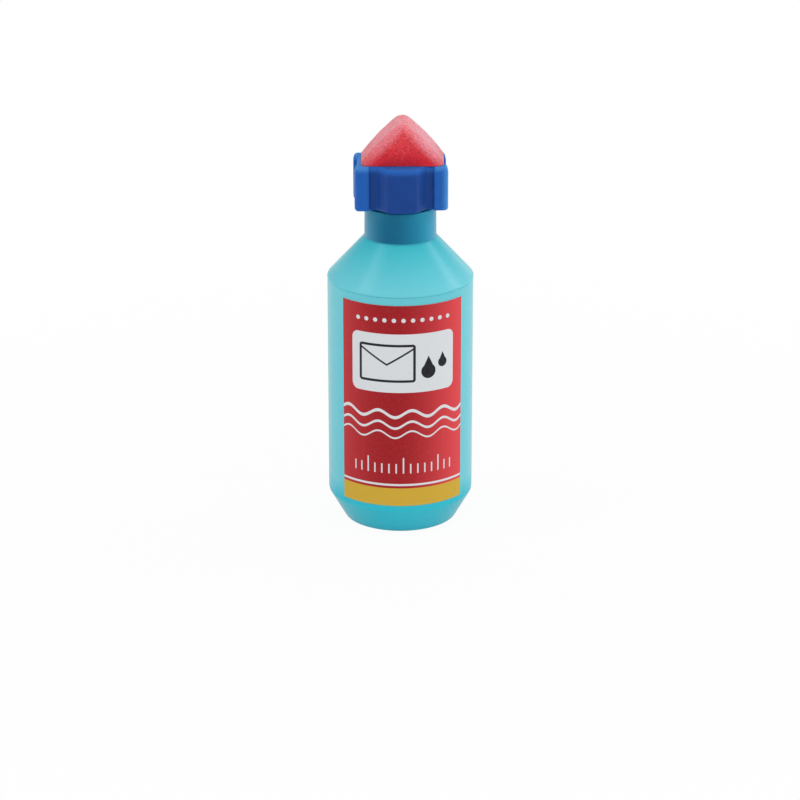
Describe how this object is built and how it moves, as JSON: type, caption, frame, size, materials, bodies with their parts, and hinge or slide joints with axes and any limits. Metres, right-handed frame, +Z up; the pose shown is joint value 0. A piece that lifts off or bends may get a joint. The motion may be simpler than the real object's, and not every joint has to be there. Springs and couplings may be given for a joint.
{
  "type": "envelope moistener",
  "caption": "Squeeze bottle with a conical shoulder and threaded neck, under a screw cap with corner posts that holds a foam wedge for wetting envelope gum.",
  "frame": {"origin": "middle of the foot's standing plane, on the bottle's axis", "axes": "+Z up along the bottle's axis, -Y out through the middle of the label, +X to the right as seen from the label's side"},
  "size_m": [0.04, 0.0402, 0.114],
  "materials": {
    "bottle_plastic": "translucent blow-moulded polyethylene, satin",
    "label_paper": "coated paper, satin",
    "washer_rubber": "soft closed foam, matt",
    "cap_plastic": "moulded polypropylene, semi-gloss",
    "sponge_foam": "open-cell polyurethane foam, matt and porous"
  },
  "bodies": {
    "bottle": {"bottle": "bottle_plastic", "label": "label_paper"},
    "washer": {"sealing_washer": "washer_rubber"},
    "cap": {"screw_cap": "cap_plastic", "sponge": "sponge_foam"}
  },
  "joints": [
    {"name": "cap_lift", "type": "slide", "parent": "bottle", "child": "washer", "axis": [0, 0, 1], "range_m": [0, 0.00313]},
    {"name": "cap_turn", "type": "hinge", "parent": "washer", "child": "cap", "pos_m": [0, 0, 0.0975], "axis": [0, 0, 1], "range_deg": [0, 450]}
  ],
  "couplings": [
    {"joint": "cap_lift", "follows": "cap_turn", "m_per_rad": 0.00039789}
  ]
}
